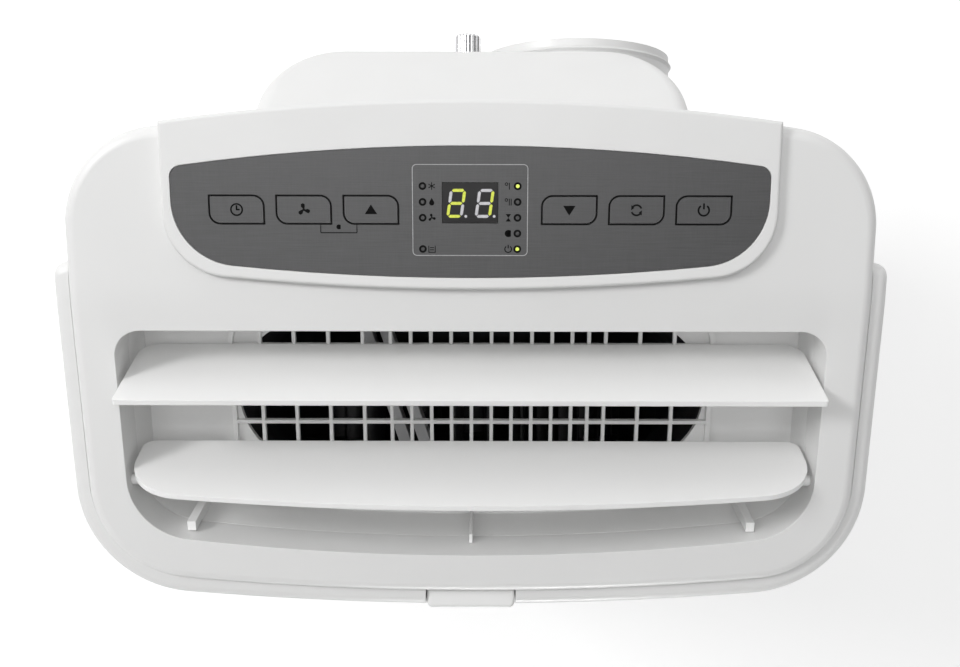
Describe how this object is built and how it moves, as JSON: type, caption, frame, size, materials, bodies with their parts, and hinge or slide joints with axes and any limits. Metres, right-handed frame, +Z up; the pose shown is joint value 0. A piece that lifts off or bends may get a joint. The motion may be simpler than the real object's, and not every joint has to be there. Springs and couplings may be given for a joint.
{
  "type": "portable air conditioner",
  "caption": "Tall portable room air conditioner on swivel castors, with a sloping top that carries a key panel and a louvred air outlet, and an exhaust collar on its back.",
  "frame": {"origin": "on the floor, under the middle of the casing from front clip to collar rim", "axes": "+Z up, -Y towards the front clip, +X to the user's right when they stand at the front"},
  "size_m": [0.368, 0.313, 0.6897],
  "materials": {
    "white_casing": "satin white moulding",
    "white_outlet": "satin white moulding",
    "panel_film": "dark grey film with a brushed grain",
    "window": "smoked clear plastic",
    "display": "dark digit face",
    "lamp_lit": "lit yellow-green lens",
    "lamp": "frosted lens",
    "circuit_board": "solder mask",
    "black_plastic": "matt",
    "duct_plastic": "matt",
    "steel": "zinc plated",
    "filter": "woven mesh",
    "chrome": "bright",
    "grey_plastic": "matt",
    "rubber": "matt",
    "sheet_metal": "galvanised",
    "castor_hood": "satin",
    "castor_wheel": "satin",
    "motor": "satin",
    "compressor": "black paint",
    "fins": "mill finish",
    "copper": "bare copper"
  },
  "bodies": {
    "casing": {"base_pan": "sheet_metal", "blower_housing": "duct_plastic", "blower_motor": "motor", "board_screws": "steel", "compressor": "compressor", "compressor_grommets": "rubber", "condenser_coil": "fins", "condenser_grille": "white_casing", "condenser_housing": "duct_plastic", "condenser_motor": "motor", "control_box": "sheet_metal", "control_panel": "panel_film", "cord_gland": "rubber", "display_board": "circuit_board", "display_module": "display", "display_window": "window", "drain_spout": "chrome", "drain_tube": "rubber", "drip_tray": "grey_plastic", "evaporator_coil": "fins", "exhaust_collar": "white_casing", "front_clip": "white_casing", "front_shell": "white_casing", "handle_cup_left": "white_casing", "handle_cup_right": "white_casing", "indicator_lamps": "lamp", "indicator_lamps_lit": "lamp_lit", "key_switches": "black_plastic", "outlet_grille": "white_outlet", "partition_plate": "sheet_metal", "rear_shell": "white_casing", "refrigerant_pipes": "copper", "top_cover": "white_casing", "vent_frame": "white_outlet"},
    "upper_louvre_body": {"upper_louvre": "white_outlet", "upper_crank": "white_outlet"},
    "lower_louvre_body": {"lower_louvre": "white_outlet", "lower_crank": "white_outlet"},
    "louvre_link_body": {"louvre_link": "white_outlet"},
    "intake_cover": {"intake_grille": "white_casing", "filter_mesh": "filter"},
    "plug": {"drain_plug": "grey_plastic"},
    "indoor_fan": {"blower_wheel": "black_plastic"},
    "outdoor_fan": {"condenser_wheel": "black_plastic"},
    "key_timer_body": {"key_timer": "panel_film"},
    "key_fan_body": {"key_fan": "panel_film"},
    "key_up_body": {"key_up": "panel_film"},
    "key_down_body": {"key_down": "panel_film"},
    "key_mode_body": {"key_mode": "panel_film"},
    "key_power_body": {"key_power": "panel_film"},
    "castor_front_left": {"castor_hood_front_left": "castor_hood"},
    "wheels_front_left": {"castor_wheels_front_left": "castor_wheel"},
    "castor_front_right": {"castor_hood_front_right": "castor_hood"},
    "wheels_front_right": {"castor_wheels_front_right": "castor_wheel"},
    "castor_rear_left": {"castor_hood_rear_left": "castor_hood"},
    "wheels_rear_left": {"castor_wheels_rear_left": "castor_wheel"},
    "castor_rear_right": {"castor_hood_rear_right": "castor_hood"},
    "wheels_rear_right": {"castor_wheels_rear_right": "castor_wheel"}
  },
  "joints": [
    {"name": "upper_louvre_tilt", "type": "hinge", "parent": "casing", "child": "upper_louvre_body", "pos_m": [0, -0.05136, 0.64742], "axis": [1, 0, 0], "range_deg": [-8, 78.5]},
    {"name": "lower_louvre_tilt", "type": "hinge", "parent": "casing", "child": "lower_louvre_body", "pos_m": [0, -0.09333, 0.63483], "axis": [1, 0, 0], "range_deg": [-8, 78.5]},
    {"name": "louvre_link_pin", "type": "hinge", "parent": "upper_louvre_body", "child": "louvre_link_body", "pos_m": [0.1645, -0.06036, 0.63669], "axis": [1, 0, 0], "range_deg": [-78.5, 8]},
    {"name": "intake_cover_pull", "type": "slide", "parent": "casing", "child": "intake_cover", "axis": [0, 1, 0], "range_m": [0, 0.04]},
    {"name": "drain_plug_pull", "type": "slide", "parent": "casing", "child": "plug", "axis": [0, 1, 0], "range_m": [0, 0.02]},
    {"name": "indoor_fan_spin", "type": "hinge", "parent": "casing", "child": "indoor_fan", "pos_m": [0, -0.054, 0.47], "axis": [0, 1, 0], "continuous": true},
    {"name": "outdoor_fan_spin", "type": "hinge", "parent": "casing", "child": "outdoor_fan", "pos_m": [-0.03, 0.027, 0.2], "axis": [0, 1, 0], "continuous": true},
    {"name": "key_timer_press", "type": "slide", "parent": "casing", "child": "key_timer_body", "axis": [0, 0.1959, -0.9806], "range_m": [0, 0.0005], "stiffness_N_per_m": 2000},
    {"name": "key_fan_press", "type": "slide", "parent": "casing", "child": "key_fan_body", "axis": [0, 0.1959, -0.9806], "range_m": [0, 0.0005], "stiffness_N_per_m": 2000},
    {"name": "key_up_press", "type": "slide", "parent": "casing", "child": "key_up_body", "axis": [0, 0.1959, -0.9806], "range_m": [0, 0.0005], "stiffness_N_per_m": 2000},
    {"name": "key_down_press", "type": "slide", "parent": "casing", "child": "key_down_body", "axis": [0, 0.1959, -0.9806], "range_m": [0, 0.0005], "stiffness_N_per_m": 2000},
    {"name": "key_mode_press", "type": "slide", "parent": "casing", "child": "key_mode_body", "axis": [0, 0.1959, -0.9806], "range_m": [0, 0.0005], "stiffness_N_per_m": 2000},
    {"name": "key_power_press", "type": "slide", "parent": "casing", "child": "key_power_body", "axis": [0, 0.1959, -0.9806], "range_m": [0, 0.0005], "stiffness_N_per_m": 2000},
    {"name": "castor_front_left_swivel", "type": "hinge", "parent": "casing", "child": "castor_front_left", "pos_m": [-0.136, -0.098, 0.04], "axis": [0, 0, 1], "continuous": true},
    {"name": "wheels_front_left_roll", "type": "hinge", "parent": "castor_front_left", "child": "wheels_front_left", "pos_m": [-0.136, -0.086, 0.015], "axis": [1, 0, 0], "continuous": true},
    {"name": "castor_front_right_swivel", "type": "hinge", "parent": "casing", "child": "castor_front_right", "pos_m": [0.136, -0.098, 0.04], "axis": [0, 0, 1], "continuous": true},
    {"name": "wheels_front_right_roll", "type": "hinge", "parent": "castor_front_right", "child": "wheels_front_right", "pos_m": [0.136, -0.086, 0.015], "axis": [1, 0, 0], "continuous": true},
    {"name": "castor_rear_left_swivel", "type": "hinge", "parent": "casing", "child": "castor_rear_left", "pos_m": [-0.09, 0.084, 0.04], "axis": [0, 0, 1], "continuous": true},
    {"name": "wheels_rear_left_roll", "type": "hinge", "parent": "castor_rear_left", "child": "wheels_rear_left", "pos_m": [-0.09, 0.096, 0.015], "axis": [1, 0, 0], "continuous": true},
    {"name": "castor_rear_right_swivel", "type": "hinge", "parent": "casing", "child": "castor_rear_right", "pos_m": [0.09, 0.084, 0.04], "axis": [0, 0, 1], "continuous": true},
    {"name": "wheels_rear_right_roll", "type": "hinge", "parent": "castor_rear_right", "child": "wheels_rear_right", "pos_m": [0.09, 0.096, 0.015], "axis": [1, 0, 0], "continuous": true}
  ],
  "couplings": [
    {"joint": "lower_louvre_tilt", "follows": "upper_louvre_tilt", "ratio": 1},
    {"joint": "louvre_link_pin", "follows": "upper_louvre_tilt", "ratio": -1}
  ]
}
